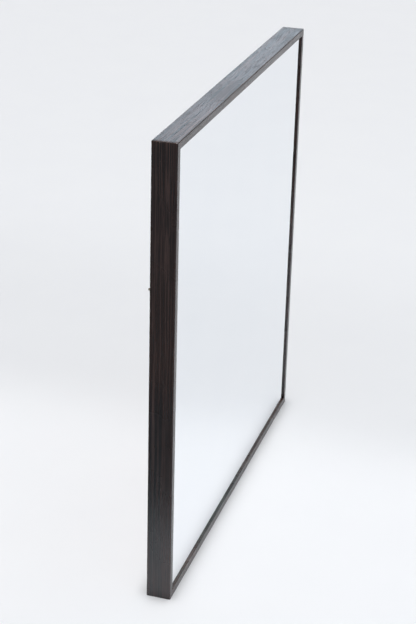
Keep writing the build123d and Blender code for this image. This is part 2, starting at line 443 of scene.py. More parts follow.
def blend_colour(tree, amount, first, second):
    """Mixes two colours; each is a colour or a socket."""
    made = tree.nodes.new("ShaderNodeMix")
    made.data_type = "RGBA"
    for index, value in ((0, amount), (6, first), (7, second)):
        if isinstance(value, bpy.types.NodeSocket):
            tree.links.new(value, made.inputs[index])
        else:
            made.inputs[index].default_value = value if index == 0 else (*value, 1.0)
    return made.outputs[2]


def tint(tree, tone, mask, share, colour):
    """Lays a share of a colour over a tone, where a mask is 1."""
    return blend_colour(tree, maths(tree, "MULTIPLY", mask, share), tone, colour)


def bump(tree, shader, height, distance):
    """Turns a height mask into a bump on the shader; distance is in metres."""
    made = node(tree, "Bump", {}, Height=height, Strength=1.0, Distance=distance)
    feed(tree, shader, "Normal", made.outputs["Normal"])


def between(tree, mask, low, high):
    """A number that goes from low to high as a mask goes from 0 to 1."""
    made = node(tree, "MapRange", {}, Value=mask)
    made.inputs["To Min"].default_value = low
    made.inputs["To Max"].default_value = high
    return made.outputs["Result"]


def grain_coords(tree, coords, upright, shift):
    """Coordinates turned so that the grain runs along their first axis. The shift picks a stretch of wood."""
    turn = (0.0, math.radians(90), 0.0) if upright else (0.0, 0.0, 0.0)
    return node(tree, "Mapping", {}, Vector=coords, Location=shift, Rotation=turn).outputs[0]


def edge_wear_and_highlight_mask(tree, coords, low, high, width, breakup):
    """The mask for edge wear, and for a painted edge highlight, on a piece that fills the box between two
    corners.
    """
    centre = [(low[i] + high[i]) / 2 for i in range(3)]
    half = [(high[i] - low[i]) / 2 for i in range(3)]
    made = use_group(tree, EDGE_WEAR_AND_HIGHLIGHT, Vector=coords, Centre=centre, Half=half, Width=width, Breakup=breakup)
    return made.outputs["Wear"]


# %% [markdown]
# ## The dark planks' finish
#
# The planks are a brown-black open-grained hardwood with a thin satin oil. Seen square on they are nearly
# black with fine lighter streaks. Seen at a low angle the oil mirrors the room, and the same wood turns
# silver grey. That change is Fresnel reflection, so it comes from the shader's own gloss and not from paint.
# Their edges are painted a lighter brown, partly as rubbed wear and partly as a painted highlight on the
# arris.
#
# The top and bottom planks have their grain along X and the side planks along Z. One recipe serves both: a
# Mapping node turns the coordinate so that the grain always runs along its first axis. The upright planks
# have painted shade near the foot, where their lighter streaks fade into the dark tone, and browner
# heartwood from the middle upwards.

# %% Tones and shares of the dark wood
DARK_LOW = (0.0045, 0.0028, 0.0028)
DARK_HIGH = (0.160, 0.096, 0.085)
DARK_RED = (0.052, 0.0190, 0.0130)
# The lighter colour along the plank edges: rubbed wear, and a painted highlight on the rounded arris.
DARK_WEAR_AND_HIGHLIGHT = (0.085, 0.070, 0.060)
DARK_HEART = (0.110, 0.047, 0.030)
END_LOW = (0.010, 0.0055, 0.0050)
END_HIGH = (0.135, 0.080, 0.072)
COOL_SHEEN = (0.88, 0.95, 1.0, 1.0)
OILED_IOR = 1.7
OILED_ROUGHNESS = 0.23

# Painted shade at the foot of the upright planks: below the first height, in metres, only a share of the
# streaks is kept, and above the second height all of them are.
SHADED_FOOT = (0.14, 0.50)
SHADED_FOOT_STREAK_SHARE = 0.25
HEART_RISE = (0.34, 0.46)
HEART_FALL = (0.50, 0.80)
HEART_SHARE = 0.45
HEART_LEFT = 0.5


# %% Dark long grain
def heart_mask(tree, height):
    """Where an upright plank shows its heartwood: from the middle up, and less of it near the top."""
    rising = maths(tree, "MULTIPLY", ramp(tree, height, *HEART_RISE), HEART_SHARE)
    return maths(tree, "MULTIPLY", rising, between(tree, ramp(tree, height, *HEART_FALL), 1.0, HEART_LEFT))


def dark_wood(name, low, high, upright, shift):
    """Oiled dark hardwood for one plank; low and high are the plank's corners."""
    material, tree, shader, coords = new_material(name)
    grain = use_group(tree, LONG_GRAIN, Vector=grain_coords(tree, coords, upright, shift))
    patches = use_group(tree, HANDLING, Vector=coords, Size=0.11)
    if upright:
        height = node(tree, "SeparateXYZ", {}, Vector=coords).outputs["Z"]
        # Painted shade: the light streaks fade out, so the plank darkens towards its foot.
        foot_shade = between(tree, ramp(tree, height, *SHADED_FOOT), SHADED_FOOT_STREAK_SHARE, 1.0)
        figure_and_foot_shade = maths(tree, "MULTIPLY", grain.outputs["Streaks"], foot_shade)
        tone = blend_colour(tree, figure_and_foot_shade, DARK_LOW, DARK_HIGH)
        tone = blend_colour(tree, heart_mask(tree, height), tone, DARK_HEART)
    else:
        tone = blend_colour(tree, grain.outputs["Streaks"], DARK_LOW, DARK_HIGH)
    tone = tint(tree, tone, grain.outputs["Bands"], 0.65, DARK_RED)
    tone = tint(tree, tone, grain.outputs["Pores"], 0.75, DARK_LOW)
    # Lighter along the edges, 1.6 mm wide: rubbed wear and a painted highlight on the arris.
    wear_and_highlight = edge_wear_and_highlight_mask(tree, coords, low, high, 0.0016, 0.85)
    feed(tree, shader, "Base Color", tint(tree, tone, wear_and_highlight, 0.55, DARK_WEAR_AND_HIGHLIGHT))
    dull = maths(tree, "ADD", maths(tree, "MULTIPLY", grain.outputs["Pores"], 0.07), OILED_ROUGHNESS)
    dull = maths(tree, "ADD", dull, maths(tree, "MULTIPLY", patches.outputs["Patches"], 0.06))
    feed(tree, shader, "Roughness", dull)
    shader.inputs["IOR"].default_value = OILED_IOR
    shader.inputs["Specular Tint"].default_value = COOL_SHEEN
    bump(tree, shader, grain.outputs["Height"], 0.00005)
    return material


# %% Dark end grain
def dark_end_grain(name, shift):
    """The cut end of a dark plank, which drinks more oil and is duller than its faces."""
    material, tree, shader, coords = new_material(name)
    grain = use_group(tree, END_GRAIN, Vector=grain_coords(tree, coords, False, shift))
    tone = blend_colour(tree, grain.outputs["Rings"], END_LOW, END_HIGH)
    tone = tint(tree, tone, grain.outputs["Pores"], 0.8, DARK_LOW)
    feed(tree, shader, "Base Color", tone)
    feed(tree, shader, "Roughness", between(tree, grain.outputs["Pores"], 0.34, 0.60))
    shader.inputs["IOR"].default_value = OILED_IOR
    shader.inputs["Specular Tint"].default_value = COOL_SHEEN
    bump(tree, shader, grain.outputs["Height"], 0.00010)
    return material


# %% [markdown]
# ## The planks
#
# The four planks meet in mitres, so that only long grain shows. A joiner saws them from one board and glues
# them up. Here it goes the other way: one ring is made, its outer edges are eased with a plane, and each
# plank is a copy of the ring that is parted along its two corner diagonals.
#
# The planks are brushed along the grain, which leaves shallow grooves. A fine grid of cuts gives the mesh
# enough points, and a Displace modifier presses the grooves in. The modifier reads a noise texture through
# an empty that is long in one direction, so that the noise is drawn out along the grain.

# %% Noise that is pressed into a surface
def soft_noise(name, size):
    """Noise for a surface; size is the size of its patches."""
    texture = bpy.data.textures.new(name, "CLOUDS")
    texture.noise_scale = size
    texture.noise_depth = 1
    return texture


def press_in(piece, texture, depth, direction="NORMAL", guide=None):
    """Presses noise into a piece, inwards only. A guide is an empty that draws the noise out."""
    only(piece)
    bpy.ops.object.modifier_add(type="DISPLACE")
    modifier = piece.modifiers[-1]
    modifier.texture = texture
    modifier.direction = direction
    if guide:
        modifier.texture_coords = "OBJECT"
        modifier.texture_coords_object = guide
    modifier.mid_level = 1.0
    modifier.strength = depth
    apply_modifiers(piece)


# %% Noise for the brushed grooves
def groove_noise():
    """Noise that is flat over most of its range, so that only narrow grooves go down."""
    texture = soft_noise("brushed_grooves", 1.0)
    texture.use_color_ramp = True
    stops = texture.color_ramp.elements
    stops[0].position, stops[0].color = 0.30, (0, 0, 0, 1)
    stops[1].position, stops[1].color = 0.62, (1, 1, 1, 1)
    return texture


GROOVES = groove_noise()
GROOVE_DEPTH = 0.07 * MM
GROOVE_LENGTH = 80.0 * MM
GROOVE_WIDTH = 1.6 * MM
CUT_ALONG = 7.0 * MM
CUT_ACROSS = 0.8 * MM


# %% Cut a grid and press the grooves
def cut_grid(piece, axis, spacing, low, high):
    """Cuts every edge that runs along one axis into even lengths."""
    length = high[axis] - low[axis]
    pick_edges(piece, lambda a, b: abs(a[axis] - b[axis]) > length / 2)
    bpy.ops.mesh.subdivide(number_cuts=max(1, int(length / spacing)))
    done(piece)


def press_grooves(piece, upright):
    """Brushed grooves along the grain, pressed inwards only."""
    empty = bpy.data.objects.new("groove_guide", None)
    bpy.context.scene.collection.objects.link(empty)
    empty.scale = (GROOVE_WIDTH, GROOVE_WIDTH, GROOVE_LENGTH)
    if not upright:
        empty.scale = (GROOVE_LENGTH, GROOVE_WIDTH, GROOVE_WIDTH)
    bpy.context.view_layer.update()
    press_in(piece, GROOVES, GROOVE_DEPTH, guide=empty)
    bpy.data.objects.remove(empty)


# %% The ring that the planks are parted from
def frame_ring():
    """A block with a window cut through it. Its outer edges are eased, except underneath."""
    low = (-HALF_WIDTH, bottom_low.y, 0.0)
    high = (HALF_WIDTH, bottom_high.y, FRAME_HEIGHT)
    ring = block("ring", low, high)
    round_edges(ring, lambda a, b: max(a.z, b.z) > FRAME_HEIGHT / 2, EDGE_EASE, 4)
    window_low = (PLANK - HALF_WIDTH, low[1] - MM, PLANK)
    window_high = (HALF_WIDTH - PLANK, high[1] + MM, FRAME_HEIGHT - PLANK)
    cut_away(ring, block("window", window_low, window_high))
    return ring


def part_along(piece, corner, direction):
    """Parts a piece along a corner's diagonal and keeps the side that the direction points to."""
    pick_all(piece)
    bpy.ops.mesh.bisect(
        plane_co=corner, plane_no=direction, use_fill=True, clear_inner=True, threshold=HAIR / 10
    )
    done(piece)


# %% One plank
def on_mitre(middle, normal):
    """A test for the faces of a mitre, which point half along X and half along Z."""
    return abs(normal.x) > 0.66 and abs(normal.z) > 0.66


def plank(ring, cad_node, upright, side, shift):
    """One plank. side is +1 for the top or right plank and -1 for the bottom or left one."""
    name = "plank_" + cad_node.split("_")[0]
    low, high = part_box(cad_node)
    piece = place_copy(ring, name)
    if upright:
        x = side * HALF_WIDTH
        part_along(piece, (x, 0, 0), (side, 0, 1))
        part_along(piece, (x, 0, FRAME_HEIGHT), (side, 0, -1))
    else:
        z = FRAME_HEIGHT if side > 0 else 0.0
        part_along(piece, (-HALF_WIDTH, 0, z), (1, 0, side))
        part_along(piece, (HALF_WIDTH, 0, z), (-1, 0, side))
    pick_all(piece)
    bpy.ops.mesh.dissolve_limited(angle_limit=math.radians(1.0))
    done(piece)
    clean(piece)
    axis = 2 if upright else 0
    for across in (1, 2 - axis):
        cut_grid(piece, across, CUT_ACROSS, low, high)
    cut_grid(piece, axis, CUT_ALONG, low, high)
    press_grooves(piece, upright)
    smooth(piece, 50)
    piece.data.materials.append(dark_wood(name + "_grain", low, high, upright, shift))
    piece.data.materials.append(dark_end_grain(name + "_ends", shift))
    pick_faces(piece, on_mitre)
    give_picked(piece, 1)
    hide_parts(cad_node)
    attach(piece, "frame")
    print(name, triangles(piece), "triangles")


# %% Make the four planks
ring = frame_ring()
plank(ring, "top_board", False, 1, (0.13, 0.02, 0.31))
plank(ring, "bottom_board", False, -1, (0.57, 0.11, 0.07))
plank(ring, "left_board", True, -1, (0.21, 0.05, 0.0))
plank(ring, "right_board", True, 1, (0.83, 0.17, 0.0))
bpy.data.objects.remove(ring)

# %% [markdown]
# ## The mirror
#
# The pane is float glass, silvered on its back and sealed with grey paint. Its front edges are ground to a
# small flat so that they don't chip or cut. The block is bevelled along its front edges with one segment.
# The big front face carries the reflecting finish, and the ground flats and sides show green glass.

# %% Mirror finishes
SILVER = (0.950, 0.970, 0.990)
DUSTY_SILVER = (0.940, 0.962, 0.984)
GLASS_DARK = (0.13, 0.21, 0.18)
GLASS_PALE = (0.24, 0.34, 0.30)
GROUND_FLAT = 0.6 * MM


def silvered_glass():
    """A clean, faintly cool mirror with the lightest trace of dust."""
    material, tree, shader, coords = new_material("silvered_glass")
    shader.inputs["Metallic"].default_value = 1.0
    dust = use_group(tree, HANDLING, Vector=coords, Size=0.16)
    tone = blend_colour(tree, dust.outputs["Patches"], SILVER, DUSTY_SILVER)
    feed(tree, shader, "Base Color", tone)
    feed(tree, shader, "Roughness", between(tree, dust.outputs["Patches"], 0.012, 0.03))
    return material


def ground_glass_edge():
    """The ground green edge of float glass, slightly frosted by the wheel."""
    material, tree, shader, coords = new_material("ground_glass_edge")
    marks = node(tree, "TexNoise", {}, Vector=coords, Scale=700.0, Detail=2.0)
    tone = blend_colour(tree, marks.outputs["Fac"], GLASS_DARK, GLASS_PALE)
    feed(tree, shader, "Base Color", tone)
    feed(tree, shader, "Roughness", between(tree, marks.outputs["Fac"], 0.30, 0.50))
    bump(tree, shader, marks.outputs["Fac"], 0.00003)
    return material


# %% Cut, grind and silver the pane
def mirror_pane():
    """The pane, with its front edges ground."""
    piece = block("mirror_pane", glass_low, glass_high)
    round_edges(piece, lambda a, b: max(a.y, b.y) < glass_low.y + MM, GROUND_FLAT, 1)
    piece.data.materials.append(silvered_glass())
    piece.data.materials.append(ground_glass_edge())
    pick_faces(piece, lambda middle, normal: normal.y > -0.95)
    give_picked(piece, 1)
    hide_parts("mirror_glass")
    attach(piece, "frame")
    print("mirror_pane", triangles(piece), "triangles")


mirror_pane()

# %% [markdown]
# ## Finishes for the back
#
# The back of the frame is plain joinery: planed pine, smooth brown hardboard, pressed steel and a little
# brass. None of it is one flat colour. Pine shows its yearly bands, hardboard its pressed fibres, lacquered
# steel is rubbed bright along its edges, and brass goes dull in patches where hands have touched it.

# %% Pine
PINE_PALE = (0.60, 0.41, 0.225)
PINE_STREAK = (0.44, 0.265, 0.125)
PINE_BAND = (0.66, 0.47, 0.28)
PINE_PORE = (0.30, 0.17, 0.08)
PINE_DIRT = (0.36, 0.27, 0.18)
PINE_RUBBED = (0.30, 0.20, 0.12)


def pine(name, low, high, upright, shift):
    """Planed, unfinished pine for one batten."""
    material, tree, shader, coords = new_material(name)
    grain = use_group(tree, LONG_GRAIN, Vector=grain_coords(tree, coords, upright, shift), Fineness=0.8)
    dirt = use_group(tree, HANDLING, Vector=coords, Size=0.045)
    tone = blend_colour(tree, grain.outputs["Streaks"], PINE_PALE, PINE_STREAK)
    tone = tint(tree, tone, grain.outputs["Bands"], 0.45, PINE_BAND)
    tone = tint(tree, tone, grain.outputs["Pores"], 0.25, PINE_PORE)
    tone = tint(tree, tone, dirt.outputs["Patches"], 0.18, PINE_DIRT)
    rubbed = edge_wear_and_highlight_mask(tree, coords, low, high, 0.0014, 0.7)
    feed(tree, shader, "Base Color", tint(tree, tone, rubbed, 0.5, PINE_RUBBED))
    feed(tree, shader, "Roughness", between(tree, grain.outputs["Streaks"], 0.52, 0.66))
    bump(tree, shader, grain.outputs["Height"], 0.00006)
    return material


# %% Mottled finishes
def mottled(name, first, second, fleck, size, rough, depth, metallic=0.0):
    """A finish of two close tones in patches, with flecks. size is the patches' size in metres."""
    material, tree, shader, coords = new_material(name)
    marks = use_group(tree, HANDLING, Vector=coords, Size=size)
    tone = blend_colour(tree, marks.outputs["Patches"], first, second)
    tone = tint(tree, tone, marks.outputs["Specks"], 0.6, fleck)
    feed(tree, shader, "Base Color", tone)
    feed(tree, shader, "Roughness", between(tree, marks.outputs["Patches"], *rough))
    shader.inputs["Metallic"].default_value = metallic
    bump(tree, shader, marks.outputs["Specks"], depth)
    return material


# %% Hardboard
BOARD_DARK = (0.135, 0.070, 0.038)
BOARD_PALE = (0.255, 0.145, 0.082)
BOARD_LUMP = (0.115, 0.060, 0.034)
BOARD_FLECK = (0.36, 0.24, 0.15)
BOARD_SCUFF = (0.30, 0.20, 0.135)


def hardboard():
    """Smooth brown hardboard: pressed fibres, a faint sheen and scuffs from handling."""
    material, tree, shader, coords = new_material("brown_hardboard")
    fibres = node(tree, "TexNoise", {}, Vector=coords, Scale=420.0, Detail=4.0, Roughness=0.65)
    lumps = use_group(tree, HANDLING, Vector=coords, Size=0.006)
    scuffs = use_group(tree, HANDLING, Vector=coords, Size=0.12)
    tone = blend_colour(tree, fibres.outputs["Fac"], BOARD_DARK, BOARD_PALE)
    tone = tint(tree, tone, lumps.outputs["Patches"], 0.35, BOARD_LUMP)
    tone = tint(tree, tone, lumps.outputs["Specks"], 0.5, BOARD_FLECK)
    tone = tint(tree, tone, scuffs.outputs["Patches"], 0.22, BOARD_SCUFF)
    feed(tree, shader, "Base Color", tone)
    feed(tree, shader, "Roughness", between(tree, scuffs.outputs["Patches"], 0.36, 0.56))
    bump(tree, shader, fibres.outputs["Fac"], 0.00005)
    return material


# %% Rubbed edges
LACQUER = (0.022, 0.022, 0.023)
BARE_STEEL = (0.42, 0.41, 0.40)


def rubbed_edge():
    """Black lacquer rubbed through to bright steel along an edge, in places."""
    material, tree, shader, coords = new_material("rubbed_edge")
    rubbed = node(tree, "TexNoise", {}, Vector=coords, Scale=260.0, Detail=3.0)
    bare = ramp(tree, rubbed.outputs["Fac"], 0.47, 0.60)
    tone = blend_colour(tree, bare, LACQUER, BARE_STEEL)
    feed(tree, shader, "Base Color", tone)
    feed(tree, shader, "Metallic", bare)
    feed(tree, shader, "Roughness", between(tree, bare, 0.40, 0.28))
    bump(tree, shader, rubbed.outputs["Fac"], 0.00002)
    return material


# %% Make the shared finishes
HARDBOARD = hardboard()
RUBBED_EDGE = rubbed_edge()
BLACK_LACQUER = mottled(
    "black_lacquer",
    (0.017, 0.017, 0.018), (0.026, 0.025, 0.025), (0.075, 0.072, 0.068),
    size=0.007, rough=(0.34, 0.48), depth=0.00002,
)
BRASS = mottled(
    "tarnished_brass",
    (0.47, 0.40, 0.27), (0.30, 0.235, 0.15), (0.19, 0.14, 0.09),
    size=0.004, rough=(0.26, 0.46), depth=0.00002, metallic=1.0,
)
RUBBER = mottled(
    "moulded_rubber",
    (0.020, 0.020, 0.020), (0.034, 0.033, 0.032), (0.12, 0.115, 0.105),
    size=0.005, rough=(0.62, 0.80), depth=0.00004,
)
FIBREBOARD = mottled(
    "raw_fibreboard",
    (0.40, 0.285, 0.18), (0.46, 0.335, 0.215), (0.27, 0.18, 0.11),
    size=0.010, rough=(0.70, 0.85), depth=0.00005,
)
MASTIC = mottled(
    "cured_mastic",
    (0.70, 0.685, 0.63), (0.77, 0.755, 0.70), (0.52, 0.50, 0.45),
    size=0.008, rough=(0.42, 0.60), depth=0.00006,
)
BEECH = mottled(
    "beech_dowel",
    (0.52, 0.36, 0.22), (0.60, 0.43, 0.28), (0.36, 0.22, 0.12),
    size=0.003, rough=(0.55, 0.70), depth=0.00003,
)
ZINC = mottled(
    "bright_zinc",
    (0.63, 0.64, 0.66), (0.50, 0.51, 0.53), (0.34, 0.34, 0.33),
    size=0.003, rough=(0.24, 0.42), depth=0.00002, metallic=1.0,
)
print("finishes:", len(bpy.data.materials))

# %% [markdown]
# ## Finish the hidden pieces
#
# The screws, dowels, mastic and backing board keep the shape that the frame gives them. They sit inside the
# box, so all that they need here is their own finish.

# %% Finish what is kept
def finish_node(cad_node, material):
    """Gives a kept piece of the frame its finish."""
    kept = frame["nodes"][cad_node]
    if not kept.material_slots:
        kept.data.materials.append(material)
    for place in kept.material_slots:
        place.material = material
    print(cad_node, "takes", material.name)


finish_node("mirror_backer", FIBREBOARD)
finish_node("mirror_mastic", MASTIC)
finish_node("corner_dowels", BEECH)
finish_node("batten_screws", ZINC)
finish_node("backer_screws", ZINC)

# %% [markdown]
# ## The battens
#
# Four pine battens line the inside of the box. Each has a rebate cut out of its inner back corner for the
# back panel. As at the bench, the batten starts as a square stick, the rebate is cut with a second block as
# the cutter, and then every long edge is eased with a pass of sandpaper.

# %% One batten
REBATE_WIDTH = 8.0 * MM
REBATE_DEPTH = 3.4 * MM
SANDED = 0.45 * MM


def batten(name, cad_node, axis, side, shift):
    """One batten. axis is across it, 0 or 2, and side is +1 or -1, the way to the middle of the frame."""
    low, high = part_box(cad_node)
    piece = block(name, low, high)
    cut_low, cut_high = list(low), list(high)
    cut_low[1] = high.y - REBATE_DEPTH
    cut_high[1] = high.y + MM
    if side > 0:
        cut_low[axis] = high[axis] - REBATE_WIDTH
        cut_high[axis] = high[axis] + MM
    else:
        cut_high[axis] = low[axis] + REBATE_WIDTH
        cut_low[axis] = low[axis] - MM
    along = 2 - axis
    cut_low[along] -= MM
    cut_high[along] += MM
    cut_away(piece, block("rebate_cutter", cut_low, cut_high))
    length = high[along] - low[along]
    round_edges(piece, lambda a, b: abs(a[along] - b[along]) > 0.9 * length, SANDED, 2)
    clean(piece)
    smooth(piece, 40)
    piece.data.materials.append(pine(name + "_pine", low, high, axis == 0, shift))
    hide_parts(cad_node)
    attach(piece, "frame")
    print(name, triangles(piece), "triangles")


# %% Make the four battens
batten("batten_top", "top_batten", 2, -1, (0.41, 0.07, 0.23))
batten("batten_bottom", "bottom_batten", 2, 1, (0.93, 0.31, 0.09))
batten("batten_left", "left_batten", 0, 1, (0.11, 0.27, 0.53))
batten("batten_right", "right_batten", 0, -1, (0.67, 0.15, 0.71))

# %% [markdown]
# ## The back panel
#
# The panel is a sheet of hardboard that drops into the rebates. Its back edges are lightly rounded. A real
# sheet is never quite flat, so a grid is cut in it and shallow hollows are pressed in with a soft noise.

# %% Make the back panel
SHEET_ROUND = 0.4 * MM
SHEET_GRID = 16.0 * MM
HOLLOW_DEPTH = 0.3 * MM
HOLLOW_SIZE = 220.0 * MM


def back_sheet():
    """The hardboard sheet, slightly uneven, with its back edges rounded."""
    piece = block("back_sheet", panel_low, panel_high)
    round_edges(piece, lambda a, b: min(a.y, b.y) > panel_high.y - MM, SHEET_ROUND, 2)
    for axis in (0, 2):
        cut_grid(piece, axis, SHEET_GRID, panel_low, panel_high)
    press_in(piece, soft_noise("sheet_unevenness", HOLLOW_SIZE), HOLLOW_DEPTH, "Y")
    smooth(piece, 50)
    piece.data.materials.append(HARDBOARD)
    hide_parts("back_panel")
    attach(piece, "frame")
    print("back_sheet", triangles(piece), "triangles")


back_sheet()

# %% [markdown]
# ## Turn buttons
#
# A turn button is a teardrop of pressed steel on a shouldered screw. The teardrop is two short discs wrapped
# in one skin. Its rim is rounded over, a rib is pressed along its length, and a hole is punched at the
# pivot. The rim's faces take a second finish, lacquer that is rubbed through to the steel.

# %% Sizes of a turn button
EYE_RADIUS = 5.0 * MM
TIP_RADIUS = 3.6 * MM
REACH = 17.0 * MM
PLATE = 1.4 * MM
FACE_GAP = 0.1 * MM
RIM_ROUND = 0.35 * MM
RIB_RADIUS = 1.6 * MM
RIB_START = 6.5 * MM
RIB_END = 16.6 * MM
RIB_HEIGHT = 0.5 * MM
RIB_SUNK = 0.2 * MM
RIB_ROUND = 0.42 * MM
HOLE_RADIUS = 1.97 * MM
HOLE_ROUND = 0.12 * MM


# %% Discs and skins
def disc(name, place, radius, depth, sides=48):
    """A short upright disc that stands on a place."""
    bpy.ops.object.select_all(action="DESELECT")
    middle = (place[0], place[1], place[2] + depth / 2)
    bpy.ops.mesh.primitive_cylinder_add(vertices=sides, radius=radius, depth=depth, location=middle)
    piece = bpy.context.object
    piece.name = name
    settle(piece)
    return piece


def wrapped(first, second):
    """One tight skin round two pieces."""
    pick_all(join([first, second]))
    bpy.ops.mesh.convex_hull()
    bpy.ops.mesh.select_all(action="SELECT")
    bpy.ops.mesh.dissolve_limited(angle_limit=math.radians(1.0))
    return done(first)


def teardrop(name, height, depth, near, far):
    """Two discs in one skin, in lacquer. near and far are each a disc's place along X, radius and sides."""
    discs = [disc(name, (x, 0, height), radius, depth, sides) for x, radius, sides in (near, far)]
    piece = wrapped(*discs)
    piece.data.materials.clear()
    piece.data.materials.append(BLACK_LACQUER)
    piece.data.materials.append(RUBBED_EDGE)
    return piece


# %% One turn button
def on_hole_rim(a, b):
    """A test for the edges round the punched hole, at either face."""
    return max(a.xy.length, b.xy.length) < HOLE_RADIUS + 5 * HAIR and abs(a.z - b.z) < 10 * HAIR


def make_button():
    """A turn button with its pivot at the origin, lying flat, with its reach along X."""
    top = FACE_GAP + PLATE
    piece = teardrop("turn_button", FACE_GAP, PLATE, (0, EYE_RADIUS, 64), (REACH, TIP_RADIUS, 48))
    round_edges(piece, lambda a, b: abs(a.z - b.z) < RIM_ROUND, RIM_ROUND, 3, 1)
    ends = [(x, RIB_RADIUS, 32) for x in (RIB_START, RIB_END)]
    rib = teardrop("rib", top - RIB_SUNK, RIB_HEIGHT + RIB_SUNK, *ends)
    round_edges(rib, above(top + RIB_HEIGHT - HAIR), RIB_ROUND, 4)
    merge_in(piece, rib)
    cut_away(piece, disc("punch", (0, 0, -MM), HOLE_RADIUS, 4 * MM, 40))
    round_edges(piece, on_hole_rim, HOLE_ROUND, 2, 1)
    clean(piece)
    smooth(piece, 40)
    return piece


# %% Put a button on each pivot
def stand_on(piece, place, reach):
    """Stands a flat piece on the frame's back at a place, with its X along reach and its Z to the back."""
    x, z = Vector(reach), Vector((0, 1, 0))
    turned = Matrix((x, z.cross(x), z)).transposed().to_4x4()
    piece.matrix_world = Matrix.Translation(place) @ turned
    settle(piece)


pattern = make_button()
pivots = {joint["child"]: Vector(joint["pos_m"]) for joint in frame["record"]["behaviour"]["joints"]}
for body, pivot in pivots.items():
    low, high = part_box(body)
    lean = (low + high) / 2 - pivot
    if abs(lean.x) > abs(lean.z):
        reach = (math.copysign(1, lean.x), 0, 0)
    else:
        reach = (0, 0, math.copysign(1, lean.z))
    button = place_copy(pattern, body + "_steel")
    stand_on(button, pivot, reach)
    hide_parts(body)
    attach(button, body)
print(len(pivots), "buttons of", triangles(pattern), "triangles")
bpy.data.objects.remove(pattern)

# %% [markdown]
# ## Pivot screws, screw eyes and bumpers
#
# Each button turns on a brass screw with a domed head and a cross recess. The recess has sloping sides, as a
# screwdriver's tip does, so its cutter is a block drawn in at the bottom. The screw eyes are wire, bent into
# a ring that stops just short of its shank. The bumpers are moulded rubber with a small dimple.

# %% Sizes of the brass and rubber
HEAD_RADIUS = 3.3 * MM
HEAD_HEIGHT = 1.5 * MM
HEAD_LIFT = 1.6 * MM
HEAD_ROUND = 0.95 * MM
SHOULDER_RADIUS = 1.9 * MM
SHANK_RADIUS = 1.4 * MM
SHANK_LENGTH = 14.0 * MM
RECESS_LENGTH = 3.3 * MM
RECESS_WIDTH = 0.8 * MM
RECESS_DEPTH = 1.1 * MM
RECESS_TAPER = 0.55
WIRE_RADIUS = 1.1 * MM
RING_RADIUS = 4.4 * MM
RING_MIDDLE = 6.0 * MM
RING_TURN = math.radians(342)
WIRE_OVERLAP = 0.2 * MM
EYE_SHANK = 16.0 * MM
BUMPER_RADIUS = 5.5 * MM
BUMPER_HEIGHT = 5.0 * MM
BUMPER_ROUND = 1.2 * MM
BUMPER_LAND = 1.6 * MM
DIMPLE_STEP = 0.6 * MM
DIMPLE_DEPTHS = (0.45 * MM, 0.2 * MM)
FOOT_RING = 0.5 * MM


# %% One pivot screw
def recess_cutter(turned):
    """A block for one arm of the cross, narrower at its bottom."""
    top = HEAD_LIFT + HEAD_HEIGHT
    base = top - RECESS_DEPTH
    x, y = (RECESS_WIDTH, RECESS_LENGTH) if turned else (RECESS_LENGTH, RECESS_WIDTH)
    piece = block("recess_cutter", (-x / 2, -y / 2, base), (x / 2, y / 2, top + MM))
    pick_faces(piece, lambda middle, normal: normal.z < -0.9)
    bpy.ops.transform.resize(value=(RECESS_TAPER, RECESS_TAPER, 1.0), center_override=(0, 0, base))
    return done(piece)


def make_pivot_screw():
    """A pan-headed brass screw that stands on the origin."""
    piece = disc("pivot_screw", (0, 0, HEAD_LIFT), HEAD_RADIUS, HEAD_HEIGHT)
    round_edges(piece, above(HEAD_LIFT + HEAD_HEIGHT - HAIR), HEAD_ROUND, 6)
    pick_faces(piece, lambda middle, normal: normal.z < -0.9)
    bpy.ops.mesh.inset(thickness=HEAD_RADIUS - SHOULDER_RADIUS)
    bpy.ops.mesh.extrude_region_move(TRANSFORM_OT_translate={"value": (0, 0, -HEAD_LIFT)})
    bpy.ops.mesh.inset(thickness=SHOULDER_RADIUS - SHANK_RADIUS)
    bpy.ops.mesh.extrude_region_move(TRANSFORM_OT_translate={"value": (0, 0, -SHANK_LENGTH)})
    done(piece)
    cut_away(piece, recess_cutter(False))
    cut_away(piece, recess_cutter(True))
    clean(piece)
    smooth(piece, 35)
    piece.data.materials.append(BRASS)
    return piece


# %% Eight pivot screws, as one set
def screw_set():
    """All the pivot screws, joined, because none of them moves."""
    source = make_pivot_screw()
    screws = []
    for number, (body, pivot) in enumerate(sorted(pivots.items())):
        screw = place_copy(source, "pivot_screw_" + str(number))
        angle = math.radians(17 + 47 * number)
        stand_on(screw, pivot, (math.cos(angle), 0, math.sin(angle)))
        screws.append(screw)
    bpy.data.objects.remove(source)
    piece = join(screws)
    piece.name = "pivot_screw_set"
    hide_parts("pivot_screws")
    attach(piece, "frame")
    print("pivot screws", triangles(piece), "triangles")


screw_set()


# %% Screw eyes
def wire_end(name):
    """The round end of the wire, at the foot of the ring, facing along X."""
    bpy.ops.object.select_all(action="DESELECT")
    place = (0, 0, RING_MIDDLE - RING_RADIUS)
    bpy.ops.mesh.primitive_circle_add(
        vertices=20, radius=WIRE_RADIUS, fill_type="NGON", location=place, rotation=(0, math.radians(90), 0)
    )
    piece = bpy.context.object
    piece.name = name
    settle(piece)
    return piece


def make_screw_eye():
    """A wire ring on a shank. The ring stops short of closing, as a bent one does."""
    piece = wire_end("screw_eye")
    pick_all(piece)
    bpy.ops.mesh.spin(steps=64, angle=RING_TURN, center=(0, 0, RING_MIDDLE), axis=(0, -1, 0))
    done(piece)
    clean(piece)
    shank_top = RING_MIDDLE - RING_RADIUS + WIRE_OVERLAP
    shank = disc("shank", (0, 0, -EYE_SHANK), WIRE_RADIUS, EYE_SHANK + shank_top, 20)
    merge_in(piece, shank)
    clean(piece)
    smooth(piece, 40)
    piece.data.materials.append(BRASS)
    return piece


